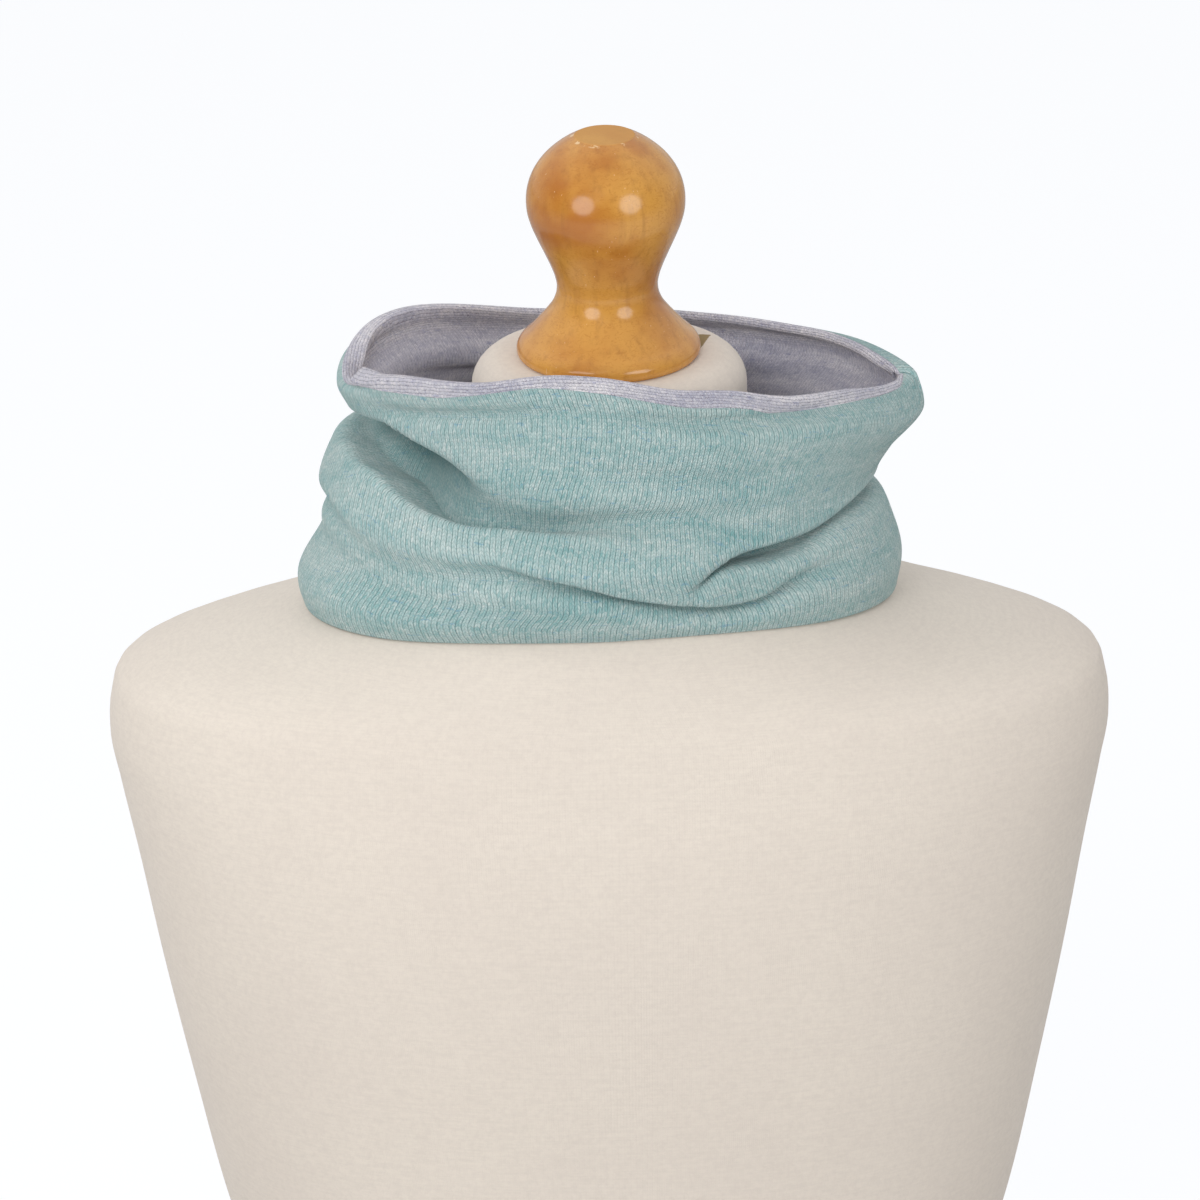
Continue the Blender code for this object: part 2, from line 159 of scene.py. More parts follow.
# Creases: the cloth goes inward by depth round a line at a height, on even arcs over a height below it and
# one above it, with a straight floor between them. The two lifts raise the floor's lower and upper edges.
CREASES = (
    # crease  angle height depth below lift floor lift above
    ("pocket", 120,    68,    0,    9,   0,    0,   0,    9),
    ("pocket", 150,    74,    8,    9,  -3,    0,  -3,    8),
    ("pocket", 180,    77,   12,    9,  -4,    2,  -3,    8),
    ("pocket", 192,    79,   15,    7,  -6,    8,   2,    5),
    ("pocket", 201,  78.5,   19,    6,  -9, 12.5,   4,    4),
    ("pocket", 209,    77,   21,    5, -10,   13,   5,    4),
    ("pocket", 217,  73.5,   19,    5, -10,   13,   4,    5),
    ("pocket", 225,    69,   15,    5, -10,   11,   0,    9),
    ("pocket", 232,  64.5,   12,  4.5,  -9,    7,  -3,   13),
    ("pocket", 239,  60.5,  9.5,  3.5,  -8,  3.5,  -5,   16),
    ("pocket", 246,    59,    9,  3.5,  -6,    1,  -6,   16),
    ("pocket", 255,    58,    9,    4,  -5,    0,  -5,   14),
    ("pocket", 266,    58,  7.5,    6,  -2,    0,  -2,   12),
    ("pocket", 280,    58,    4,    8,   0,    0,   0,   11),
    ("pocket", 294,    58,  1.5,    8,   0,    0,   0,   10),
    ("pocket", 308,    56,    0,    8,   0,    0,   0,   10),
    ("under",  160,    44,    0,    8,   0,    0,   0,    8),
    ("under",  178,    46,  3.5,    8,   0,    0,   0,    8),
    ("under",  191,    48,    4,    8,   0,    0,   0,    8),
    ("under",  203,    46,    2,    8,   0,    0,   0,    8),
    ("under",  216,    41,  1.2,    8,   0,    0,   0,    8),
    ("under",  228,    39,  2.5,    8,   0,    0,   0,   12),
    ("under",  238,    39,  4.5,    8,   1,    0,   1,   13),
    ("under",  247,  39.5,    6,    8,   2,    0,   2,   12),
    ("under",  256,    38,  7.5,    8,   2,    0,   2,    9),
    ("under",  266,  35.5,    8,    8,   2,    0,   2,    7),
    ("under",  276,    31,    8,    8,   2,    0,   2,    5),
    ("under",  286,  26.5,    8,    8,   2,    0,   2,    5),
    ("under",  294,  24.5,    8,    8,   2,    0,   2,    5),
    ("under",  302,  25.5,  7.5,    8,   2,    0,   2,    5),
    ("under",  310,  29.5,    6,    8,   1,    0,   1,    6),
    ("under",  318,    32,    3,    8,   0,    0,   0,    7),
    ("under",  330,    33,    0,    8,   0,    0,   0,    8),
    ("pinch",  286,    33,    0,    6,   0,    0,   0,    5),
    ("pinch",  290,    36,    4,  5.5,   1,    0,   1,    5),
    ("pinch",  294,  40.5,    9,    5,   1,    0,   1,    5),
    ("pinch",  299,    43,   13,    5,   0,    2,   1,  4.5),
    ("pinch",  308,  43.5,   14,  5.5,  -1,    3,   1,  4.5),
    ("pinch",  318,  44.5,   12,    7,   0,    2,   1,  4.5),
    ("pinch",  330,    47,   10,    8,   2,    0,   2,    5),
    ("pinch",  345,    48,    9,    9,   2,    0,   2,    6),
    ("pinch",  360,    48,    9,    9,   2,    0,   2,    7),
    ("pinch",  385,  47.5,    7,    9,   2,    0,   2,    7),
    ("pinch",  420,    53,    0,    9,   0,    0,   0,    9),
    ("nape",    40,    36,    0,    9,   0,    0,   0,    7),
    ("nape",    62,    37,    6,    9,   2,    0,   2,    5),
    ("nape",    90,    38,    8,    8,   2,    0,   2,    5),
    ("nape",   118,    40,    8,    8,   2,    0,   2,    5),
    ("nape",   138,    43,    5,    8,   1,    0,   1,    6),
    ("nape",   158,    45,    0,    8,   0,    0,   0,    8),
    ("high",    20,    84,    0,    9,   0,    0,   0,    9),
    ("high",    60,    80,    2,   12,  -1,    0,  -1,   13),
    ("high",    95,    78,    7,    6,  -4,    0,  -4,   12),
    ("high",   120,    82,    4,    7,  -2,    0,  -2,   12),
    ("high",   146,    88,    0,    9,   0,    0,   0,    9),
    ("throat", 200,    90,    0,    6,   0,    0,   0,    6),
    ("throat", 208,    92,  1.6,    6,   0,    0,   0,    6),
    ("throat", 218,  93.5,    3,    6,   0,    0,   0,    6),
    ("throat", 232,    96,  3.2,  6.5,   0,    0,   0,  6.5),
    ("throat", 248,    99,  2.4,  6.5,   0,    0,   0,  6.5),
    ("throat", 266,   101,    0,    7,   0,    0,   0,    7),
    ("brow",   256,    98,    0,    7,   0,    0,   0,    7),
    ("brow",   274,    96,  2.5,    7,   0,    0,   0,    7),
    ("brow",   290,  93.5,    4,    8,   0,    0,   0,    7),
    ("brow",   306,    92,    4,    8,   0,    0,   0,    7),
    ("brow",   322,    90,    2,    8,   0,    0,   0,    8),
    ("brow",   336,    88,    0,    8,   0,    0,   0,    8),
    ("cheek",  254,    78,    0,    8,   0,    0,   0,    8),
    ("cheek",  272,    76,  1.6,    8,   0,    0,   0,    8),
    ("cheek",  292,    72,    2,    8,   0,    0,   0,    8),
    ("cheek",  312,    70,    0,    8,   0,    0,   0,    8),
    ("tuck",   340,  90.5,    0,    4,   0,    0,   0,    4),
    ("tuck",   350,  91.5,    4,    4,   0,    0,   0,    4),
    ("tuck",   362,    93,    7,    4,   0,    0,   0,    4),
    ("tuck",   378,  95.5,  7.5,  4.5,   0,    0,   0,    4),
    ("tuck",   393,  96.8,  6.5,    5,   0,    0,   0,    4),
    ("tuck",   408,  95.5,  4.5,    5,   0,    0,   0,    4),
    ("tuck",   430,  94.5,    2,    6,   0,    0,   0,    4),
    ("tuck",   450,  96.5,    2,    7,   0,    0,   0,    4),
    ("tuck",   470,  98.5,    2,    8,   0,    0,   0,    4),
    ("tuck",   485,   103,    2,    8,   0,    0,   0,    4),
    ("tuck",   500,   106,    2,    8,   0,    0,   0,    4),
    ("tuck",   515, 104.5,  2.5,    7,   0,    0,   0,    4),
    ("tuck",   530,  99.5,  3.5,  4.5,   0,    0,   0,    4),
    ("tuck",   545,    97,    4,  4.5,   0,    0,   0,    4),
    ("tuck",   557,    99,    3,  4.5,   0,    0,   0,    4),
    ("tuck",   572,   103,    0,    4,   0,    0,   0,    4),
)

# Dress form: its level sections, each half an ellipse to the front and half to the back.
BODY = (
    # height half_width front back squareness
    (-400,    132,      92,   80,   2.3),
    (-350,    129,      90,   78,   2.3),
    (-300,    138,      96,   86,   2.3),
    (-241,    155,     103,   96,   2.3),
    (-190,    166,     106,  103,   2.3),
    (-140,    176,     108,  108,   2.3),
    (-95,     184,     106,  106,   2.3),
    (-64,     190,     101,  102,   2.3),
    (-46,     193,      96,   96,   2.3),
    (-33,     192,      92,   91,   2.3),
    (-22,     187,      88,   87,   2.3),
    (-14,     170,      84,   83,   2.2),
    (-7,      142,      80,   80,   2.2),
    (2,       115,      76,   76,   2.2),
    (10,       99,      72,   72,   2.2),
    (20,       84,      66,   67,   2.1),
    (32,       68,      59,   61,   2.0),
    (46,       57,      53,   55,   2.0),
    (62,     52.5,      51,   52,   2.0),
    (90,     52.5,      50,   50,   2.0),
)
CAP_ROUND = 12.0  # rounded edge of the neck's top
BODY_COLUMNS = 192
BODY_STEP = 3.0  # between rings
BODY_WALES = 700  # knit columns of the jersey round the form
BODY_COURSE = 1.0  # height of one knit row
CAP_STEPS = 8  # rings in the neck's rounded edge
NECK_FROM = 10.0  # the form's middle moves to the neck's over a height that starts here
NECK_SPAN = 50.0
SCUFF_REACH = (34.8, 17.0)  # a bare spot on the neck's top: how far right and back of its middle it goes
SCUFF_FROM = 26.0  # how far right it starts, under the finial's foot
SCUFF_SLANT = 0.28  # how its right edge slants

# Finial, turned about an upright axis, from its seat to the worn flat on its crown.
KNOB = (
    # height radius
    (0.0,    34.2),
    (1.0,    34.9),
    (3.0,    35.0),
    (5.0,    34.2),
    (6.5,    33.0),
    (8.0,    31.3),
    (12.0,   27.6),
    (16.0,   24.1),
    (20.0,   21.2),
    (24.0,   19.6),
    (27.5,   19.2),
    (32.0,   20.0),
    (36.0,   21.4),
    (42.0,   24.0),
    (48.0,   26.7),
    (53.0,   28.7),
    (57.5,   29.9),
    (62.0,   30.2),
    (66.0,   29.8),
    (70.0,   28.7),
    (74.0,   26.8),
    (78.0,   23.9),
    (81.0,   20.9),
    (84.0,   17.1),
    (86.0,   13.9),
    (87.4,   11.2),
)
FINIAL_COLUMNS = 128
KNOB_RINGS = 150
KNOB_WAIST = 34.0  # the wood is a little lighter below this height

# The layout for baking: the share of its height for the sides, then the size and the middles of the ends
SIDE_SHARE = 0.8
END_SIZE = 0.09
END_SPOTS = ((0.1, 0.9), (0.3, 0.9))

# Round studio lights, in degrees, metres and watts. Azimuth counts from the front, to the right.
LIGHTS = (
    # name       azimuth elevation size  power in_gloss
    ("left_box",    -34,      17,  1.25,  12.8, True),
    ("right_box",    37,      17,  1.25,  12.6, True),
    ("high_box",    -16,      36,  0.90,  10.0, False),
    ("side_box",    -80,      38,  0.90,   7.5, False),
)
LIGHT_DISTANCE = 2.2
LIGHT_HEIGHT = 60.0  # they look at the cloth, this far above the shoulder line

# Camera, in metres and degrees
VIEW_WIDTH = 0.462  # how wide the view is at the form
VIEW_DISTANCE = 3.5
VIEW_DOWN = 22.4  # how far the camera looks down
VIEW_ROLL = 1.2
VIEW_SIDE = -0.0027  # how far right of the form's middle it looks
FLOOR_BOUNCE = 0.64  # how much light the floor gives back to the object


def curve_through(places, values, at):
    """Values at the places asked for, on a smooth curve through the given ones that doesn't overshoot."""
    places = np.asarray(places, float)
    values = np.asarray(values, float)
    steps = np.diff(places)
    slopes = np.diff(values, axis=0) / steps.reshape((-1,) + (1,) * (values.ndim - 1))
    tangents = np.concatenate([slopes[:1], (slopes[1:] + slopes[:-1]) / 2, slopes[-1:]])
    turning = slopes[1:] * slopes[:-1] <= 0
    tangents[1:-1][turning] = 0
    at = np.clip(np.asarray(at, float), places[0], places[-1])
    span = np.clip(np.searchsorted(places, at, side="right") - 1, 0, len(steps) - 1)
    step = steps[span]
    u = (at - places[span]) / step
    if values.ndim > 1:
        u = u[..., None]
        step = step[..., None]
    ease = u * u * (3 - 2 * u)
    near = u * (1 - u) ** 2 * step * tangents[span]
    far = u * u * (u - 1) * step * tangents[span + 1]
    return values[span] * (1 - ease) + values[span + 1] * ease + near + far


def fold_arcs(reach, depth, half):
    """How far inward, and how far from a crease's line, a point goes that stood at a share of the crease's
    half height from it: round a lip, straight in and round the bottom."""
    depth = np.maximum(depth, 1e-6)
    turn = 2 * np.arctan(np.minimum(depth / half, 1))
    radius = half / (2 * np.sin(turn))
    arc = radius * turn
    straight = np.maximum(depth - half, 0)
    gone = (1 - reach) * (2 * arc + straight)
    left = 2 * arc + straight - gone
    lip = np.minimum(gone, arc) / radius
    bottom = np.minimum(left, arc) / radius
    inward = radius * (1 - np.cos(lip)) + np.clip(gone - arc, 0, straight)
    inward = np.where(left < arc, depth - radius * (1 - np.cos(bottom)), inward)
    off = np.where(left < arc, radius * np.sin(bottom), half - radius * np.sin(lip))
    return inward, off


def crease_shift(name, angle, height):
    """How far one crease moves the cloth inward and up at an angle and a height, and how much painted shade
    it gets there, which is less on its lower side, because it faces up."""
    rows = np.array([row[1:] for row in CREASES if row[0] == name], float)
    inward = np.zeros_like(height)
    up = np.zeros_like(height)
    crease_shade = np.zeros_like(height)
    for turn in (0.0, 360.0):
        a = angle + turn
        values = curve_through(rows[:, 0], rows[:, 1:], a)
        level, depth, below, lift_low, floor, lift_high, above = np.moveaxis(values, -1, 0)
        off_line = height - level
        half = np.where(off_line < 0, below, above)
        reach = np.maximum(np.abs(off_line) - floor / 2, 0) / half
        inside = (a >= rows[0, 0]) & (a <= rows[-1, 0]) & (reach < 1) & (depth > 0.01)
        into, off = fold_arcs(np.minimum(reach, 1), depth, half)
        floor_share = np.clip(off_line / np.maximum(floor, 0.01) + 0.5, 0, 1)
        lift = lift_low + (lift_high - lift_low) * floor_share
        inward += inside * into
        # painted shade in the crease, stronger on its upper, overhung side
        upper = np.clip(off_line / (half + floor) + 0.5, 0, 1)
        crease_shade += inside * into * (CREASE_SHADE_SIDES[0] * (1 - upper) + CREASE_SHADE_SIDES[1] * upper)
        up += inside * (np.sign(off_line) * (off - reach * half) + lift * into / np.maximum(depth, 0.01))
    return inward, up, crease_shade


def body_sizes(height):
    """The form's half width, its depths to the front and the back, and its squareness at a height."""
    rows = np.array(BODY, float)
    return curve_through(rows[:, 0], rows[:, 1:], height)


def body_height(x, y):
    """The height of the form's surface under a point."""
    low = np.full_like(x, BODY[0][0])
    high = np.full_like(x, BODY[-1][0])
    for _ in range(24):
        middle = (low + high) / 2
        half_width, front, back, squareness = body_sizes(middle).T
        depth = np.where(y > 0, back, front)
        inside = np.abs(x / half_width) ** squareness + np.abs(y / depth) ** squareness < 1
        low = np.where(inside, middle, low)
        high = np.where(inside, high, middle)
    return low


def hem_rest(x, y):
    """The height of the hem's middle where its inner edge and its tip just clear the form."""
    inner = 1 - (WALL + 1.5 * SEAM_GAP) / np.hypot(x, y)
    return HEM_CLEAR + np.maximum(body_height(x * inner, y * inner), body_height(x, y) + WALL)


def rim_rise(angle):
    """How far the rim's waves lift it at an angle."""
    rise = np.zeros_like(angle)
    for at, half_span, height in RIM_WAVES:
        off = (angle - at + 180) % 360 - 180
        rise += height * np.cos(np.clip(off / half_span, -1, 1) * np.pi / 2) ** 2
    return rise


def cloth_middle(angles, along):
    """Points midway between the two layers, and how much painted shade each gets in the creases. Rows run
    from 0, the hem, to 1, the rim, with one column an angle."""
    numbers = np.array([row[1:] for row in LEVELS], float)
    levels = curve_through(np.linspace(0, 1, len(LEVELS)), numbers, along)[:, None, :]
    levels = np.moveaxis(levels, -1, 0)
    left, right, front, back, z_left, z_right, z_front, z_back, point_left, point_right = levels
    c = np.cos(np.radians(angles))[None, :]
    s = np.sin(np.radians(angles))[None, :]
    point = np.where(c > 0, point_right, point_left) * c * c
    x = (right + left) / 2 + (right - left) / 2 * c
    y = np.where(s > 0, back, -front) * s * np.abs(s) ** point
    z = np.where(c > 0, z_right, z_left) * c * c + np.where(s > 0, z_back, z_front) * s * s
    z = z + rim_rise(angles)[None, :] * np.clip((along[:, None] - WAVES_FROM) / (1 - WAVES_FROM), 0, 1)
    settle = hem_rest(x[0], y[0]) - z[0]
    z = z + settle[None, :] * np.clip(1 - along[:, None] / HEM_REACH, 0, 1)
    shifts = [
        crease_shift(name, np.broadcast_to(angles[None, :], z.shape), z)
        for name in dict.fromkeys(row[0] for row in CREASES)
    ]
    inward, up, crease_shade = (sum(shift[k] for shift in shifts) for k in range(3))
    away = np.hypot(x, y)
    return np.stack([x - x / away * inward, y - y / away * inward, z + up], axis=-1), crease_shade


def column_angles():
    """The angle of each column of cloth, from the join seam on."""
    return (JOIN_AT + np.arange(COLUMNS) * 360.0 / COLUMNS) % 360


def cloth_grid():
    """The middle surface, its outward normals, its upward direction, its height along the cloth and how much
    painted shade it gets in the creases, in rows from hem to rim. Columns start at the join seam. The first
    rows are the hem's turned-in edge and the last the rolled band. Those between them bunch where the cloth
    bends."""
    fine = 6 * ROWS
    angles = column_angles()
    dense, crease_shade = cloth_middle(angles, np.linspace(0, 1, fine))
    step = np.linalg.norm(np.diff(dense, axis=0), axis=-1)
    way = np.diff(dense, axis=0) / step[..., None]
    bend = np.zeros_like(step)
    bend[1:] = np.linalg.norm(np.diff(way, axis=0), axis=-1)
    weight = step + BUNCHING * bend
    nearby = range(-BUNCH_COLUMNS, BUNCH_COLUMNS + 1)
    weight = sum(np.roll(weight, k, axis=1) for k in nearby) / len(nearby)
    up = np.gradient(dense, axis=0)
    up /= np.linalg.norm(up, axis=-1, keepdims=True)
    facing = np.cross(np.roll(dense, -1, axis=1) - np.roll(dense, 1, axis=1), up)
    facing /= np.linalg.norm(facing, axis=-1, keepdims=True)
    travel = np.concatenate([np.zeros((1, COLUMNS)), np.cumsum(step, axis=0)])
    band_rows = np.array(BAND, float)
    band_height = curve_through(band_rows[:, 0], band_rows[:, 1], (angles - BAND[0][0]) % 360 + BAND[0][0])
    fields = np.concatenate([dense, facing, up, travel[..., None], crease_shade[..., None]], axis=-1)
    grid = np.zeros((ROWS, COLUMNS, fields.shape[-1]))
    index = np.arange(fine)
    for j in range(COLUMNS):
        share = np.concatenate([[0], np.cumsum(weight[:, j])])
        turned = np.interp(np.linspace(0, TURN_UP, TURN_ROWS), travel[:, j], index)
        band = np.interp(travel[-1, j] - np.linspace(band_height[j], 0, BAND_ROWS), travel[:, j], index)
        ends = np.interp([turned[-1], band[0]], index, share)
        between = np.interp(np.linspace(*ends, ROWS - TURN_ROWS - BAND_ROWS + 2), share, index)
        place = np.concatenate([turned, between[1:-1], band])
        for axis in range(fields.shape[-1]):
            grid[:, j, axis] = np.interp(place, index, fields[:, j, axis])
    return grid[..., 0:3], grid[..., 3:6], grid[..., 6:9], grid[..., 9], grid[..., 10]


def row_girths(points):
    """The share of each row's girth between the join seam and each column, evened out over nearby rows."""
    steps = np.linalg.norm(np.roll(points, -1, axis=1) - points, axis=-1)
    reach = np.concatenate([np.zeros((ROWS, 1)), np.cumsum(steps, axis=1)], axis=1)
    padded = np.pad(reach / reach[:, -1:], ((EASE_ROWS, EASE_ROWS), (0, 0)), mode="edge")
    nearby = range(2 * EASE_ROWS + 1)
    return sum(padded[k:k + ROWS] for k in nearby) / len(nearby)


def add_object(name, data):
    """An object in the scene."""
    thing = bpy.data.objects.new(name, data)
    bpy.context.scene.collection.objects.link(thing)
    return thing


def add_mesh(name, points, faces, maps, finish, sharp_from):
    """A smooth-shaded object from points in millimetres, whose heights count from the shoulder line. Each
    map is a name and a pair of numbers for each corner of each face. Edges are sharp from an angle on."""
    mesh = bpy.data.meshes.new(name)
    points = (points + (0, 0, COLLAR)) * MM
    mesh.from_pydata(points.tolist(), [], faces)
    for label, corners in maps.items():
        layer = mesh.uv_layers.new(name=label)
        layer.uv.foreach_set("vector", np.asarray(corners, np.float32).ravel())
    mesh.update()
    mesh.shade_smooth()
    mesh.set_sharp_from_angle(angle=math.radians(sharp_from))
    mesh.materials.append(finish)
    return add_object(name, mesh)


def ring_quads(rings, columns):
    """Quads between rings of points, and for each corner its ring and its column, which runs on past the
    last one at the wrap."""
    low = np.repeat(np.arange(rings - 1), columns)
    left = np.tile(np.arange(columns), rings - 1)
    ring = np.stack([low, low, low + 1, low + 1], axis=1)
    column = np.stack([left, left + 1, left + 1, left], axis=1)
    return ring * columns + column % columns, ring, column


def wall_loop(side, start, fold):
    """The way round one layer's wall and back to its start, the place in it of the last row's outer face,
    and the part that folds back from there. Each step is a row of the grid, how far it lies out of the
    middle surface and on along the cloth, and the share of the lip's thickness that it takes."""
    near = side * SEAM_GAP / 2
    far = side * (SEAM_GAP / 2 + WALL)
    last = ROWS - 1
    loop = [(start, far, EDGE_GAP, 1)]
    loop += [(row, far, 0, 1) for row in range(start + 1, last + 1)]
    top = len(loop) - 1
    for k in range(1, FOLD_STEPS):
        turn = math.pi * k / FOLD_STEPS
        loop.append((last, far * math.cos(turn), WALL * math.sin(turn), max(math.cos(turn), 0)))
    loop += [(row, -far, 0, 0) for row in range(last, fold - 1, -1)]
    folded = slice(top + 1, len(loop))
    loop += [(row, -near, 0, 0) for row in range(fold, last + 1)]
    loop += [(row, near, 0, 0) for row in range(last, start, -2)]
    loop += [(start, near, EDGE_GAP, 0)]
    loop.append(loop[0])
    return loop, top, folded


def knit_layer(name, grid, side, stitch_counts, lip, finish):
    """One knit tube. Its wall lies on one side of the middle surface, and over the last row of the grid it
    turns back along the other side as far as the fold row. side is 1 where the wall faces out, and lip is
    how much thicker the wall is at the last row."""
    points, normals, onward, travel, crease_shade, start, fold = grid
    last = ROWS - 1
    loop, top, folded = wall_loop(side, start, fold)
    rows = [step[0] for step in loop]
    from_last = np.abs(travel - travel[last])
    padding = side * lip * np.cos(np.clip(from_last / LIP_REACH, 0, 1) * np.pi / 2) ** 2
    rings = np.array([
        points[row] + normals[row] * (out + thick * padding[row][:, None]) + onward[row] * on
        for row, out, on, thick in loop
    ])
    girth = row_girths(points)[rows]
    steps = np.linalg.norm(np.diff(rings, axis=0), axis=-1)
    gone = np.concatenate([np.zeros((1, COLUMNS)), np.cumsum(steps, axis=0)])
    length = gone.mean(axis=1)
    quads, ring, column = ring_quads(len(loop), COLUMNS)
    quads %= (len(loop) - 1) * COLUMNS
    up = 1 if travel[last, 0] > travel[start, 0] else -1
    run = travel[rows]
    run[folded] = travel[last] + up * (gone[folded] - gone[top])
    height = run / travel.max(axis=0)
    height = np.concatenate([height, height[:, :1]], axis=1)
    stitches = np.stack([girth[ring, column], height[ring, column]], axis=-1) * stitch_counts
    to_seam = np.clip(1 - (1 - column / COLUMNS) / SEAM_LEAN_SPAN, 0, 1)
    stitches[..., 0] += SEAM_LEAN * to_seam * (height[ring, column] - 0.5)
    layout = np.stack([column / COLUMNS, length[ring] / length[-1]], axis=-1)
    # each corner's painted crease shade, from 0 to full, goes into the crease map
    depth = crease_shade[rows][ring, column % COLUMNS] / FULL_SHADE_DEPTH
    crease = np.stack([depth, np.zeros_like(depth)], axis=-1)
    if up * side < 0:
        quads, stitches, layout, crease = (a[:, ::-1] for a in (quads, stitches, layout, crease))
    maps = {"stitches": stitches, "crease": crease, "OFBake": layout}
    return add_mesh(name, rings[:-1].reshape(-1, 3), quads.tolist(), maps, finish, KNIT_SHARP)


def cloth():
    """The aqua shell, turned in at the hem, and the grey lining, rolled out over the rim."""
    points, normals, up, travel, crease_shade = cloth_grid()
    rim_first = [field[::-1] for field in (points, normals, -up, travel, crease_shade)]
    from_rim = (*rim_first, BAND_ROWS - 1, ROWS - TURN_ROWS)
    from_hem = (points, normals, up, travel, crease_shade, TURN_ROWS - 1, ROWS - BAND_ROWS)
    even = np.zeros(COLUMNS)
    shell = knit_layer("aqua_tube", from_rim, 1, AQUA_STITCHES, even, knit_material("aqua_knit"))
    lips = np.array(LIP, float)
    lip = curve_through(lips[:, 0], lips[:, 1], (column_angles() - LIP[0][0]) % 360 + LIP[0][0])
    lining = knit_layer("grey_tube", from_hem, -1, GREY_STITCHES, lip, knit_material("grey_knit"))
    return shell, lining


def section(height, half_width, front, back, squareness):
    """A level section of the form."""
    a = np.arange(BODY_COLUMNS) * 2 * np.pi / BODY_COLUMNS
    c = np.cos(a)
    s = np.sin(a)
    middle = NECK_AT * np.clip((height - NECK_FROM) / NECK_SPAN, 0, 1)
    x = middle + half_width * np.sign(c) * np.abs(c) ** (2 / squareness)
    y = np.where(s > 0, back, front) * np.sign(s) * np.abs(s) ** (2 / squareness)
    return np.stack([x, y, np.full_like(x, height)], axis=-1)


def turned_mesh(name, rings, columns, wales, course, finish):
    """A closed body from level rings of points, with a flat fan of faces at each end."""
    rings = np.asarray(rings)
    steps = np.linalg.norm(np.diff(rings, axis=0), axis=-1).mean(axis=1)
    length = np.concatenate([[0], np.cumsum(steps)])
    ends = np.array([rings[0].mean(axis=0), rings[-1].mean(axis=0)])
    quads, ring, column = ring_quads(len(rings), columns)
    stitches = np.stack([column * wales / columns, length[ring] / course], axis=-1)
    layout = np.stack([column / columns, length[ring] / length[-1] * SIDE_SHARE], axis=-1)
    faces = quads.tolist()
    stitches = [stitches.reshape(-1, 2)]
    layout = [layout.reshape(-1, 2)]
    for end, spot in enumerate(END_SPOTS):
        first = end * (len(rings) - 1) * columns
        centre = len(rings) * columns + end
        rim = rings[-end]
        size = np.abs(rim[:, :2] - ends[end, :2]).max()
        for j in range(columns):
            k = (j + 1) % columns
            pair = [j, k] if end else [k, j]
            faces.append([first + pair[0], first + pair[1], centre])
            flat = np.stack([*rim[pair], ends[end]])[:, :2] - ends[end, :2]
            stitches.append(flat / course)
            layout.append(flat / size * END_SIZE + spot)
    points = np.concatenate([rings.reshape(-1, 3), ends])
    maps = {"stitches": np.concatenate(stitches), "OFBake": np.concatenate(layout)}
    return add_mesh(name, points, faces, maps, finish, TURNED_SHARP)


def dress_form():
    """The jersey-covered body, from its flat base to the rounded top of the neck."""
    low = BODY[0][0]
    high = BODY[-1][0]
    count = round((high - low) / BODY_STEP)
    levels = np.linspace(low, high, count + 1)
    rings = [section(z, *body_sizes(z)) for z in levels]
    half_width, depth = BODY[-1][1:3]
    for k in range(1, CAP_STEPS + 1):
        turn = math.pi / 2 * k / CAP_STEPS
        pulled = CAP_ROUND * (1 - math.cos(turn))
        height = CAP_TOP - CAP_ROUND + CAP_ROUND * math.sin(turn)
        rings.append(section(height, half_width - pulled, depth - pulled, depth - pulled, 2.0))
    return turned_mesh("jersey_form", rings, BODY_COLUMNS, BODY_WALES, BODY_COURSE, jersey_material())


def finial():
    """The turned wood knob, on the neck's flat top."""
    a = np.arange(FINIAL_COLUMNS) * 2 * np.pi / FINIAL_COLUMNS
    knob = np.array(KNOB, float)
    fine = np.linspace(knob[0, 0], knob[-1, 0], 4 * KNOB_RINGS)
    radius = curve_through(knob[:, 0], knob[:, 1], fine)
    travel = np.concatenate([[0], np.cumsum(np.hypot(np.diff(fine), np.diff(radius)))])
    levels = np.interp(np.linspace(0, travel[-1], KNOB_RINGS), travel, fine)
    rings = [
        np.stack([NECK_AT + r * np.cos(a), r * np.sin(a), np.full_like(a, FINIAL_SEAT + z)], axis=-1)
        for z, r in zip(levels, np.interp(levels, fine, radius))
    ]
    return turned_mesh("turned_finial", rings, FINIAL_COLUMNS, FINIAL_COLUMNS, 1.0, wood_material())


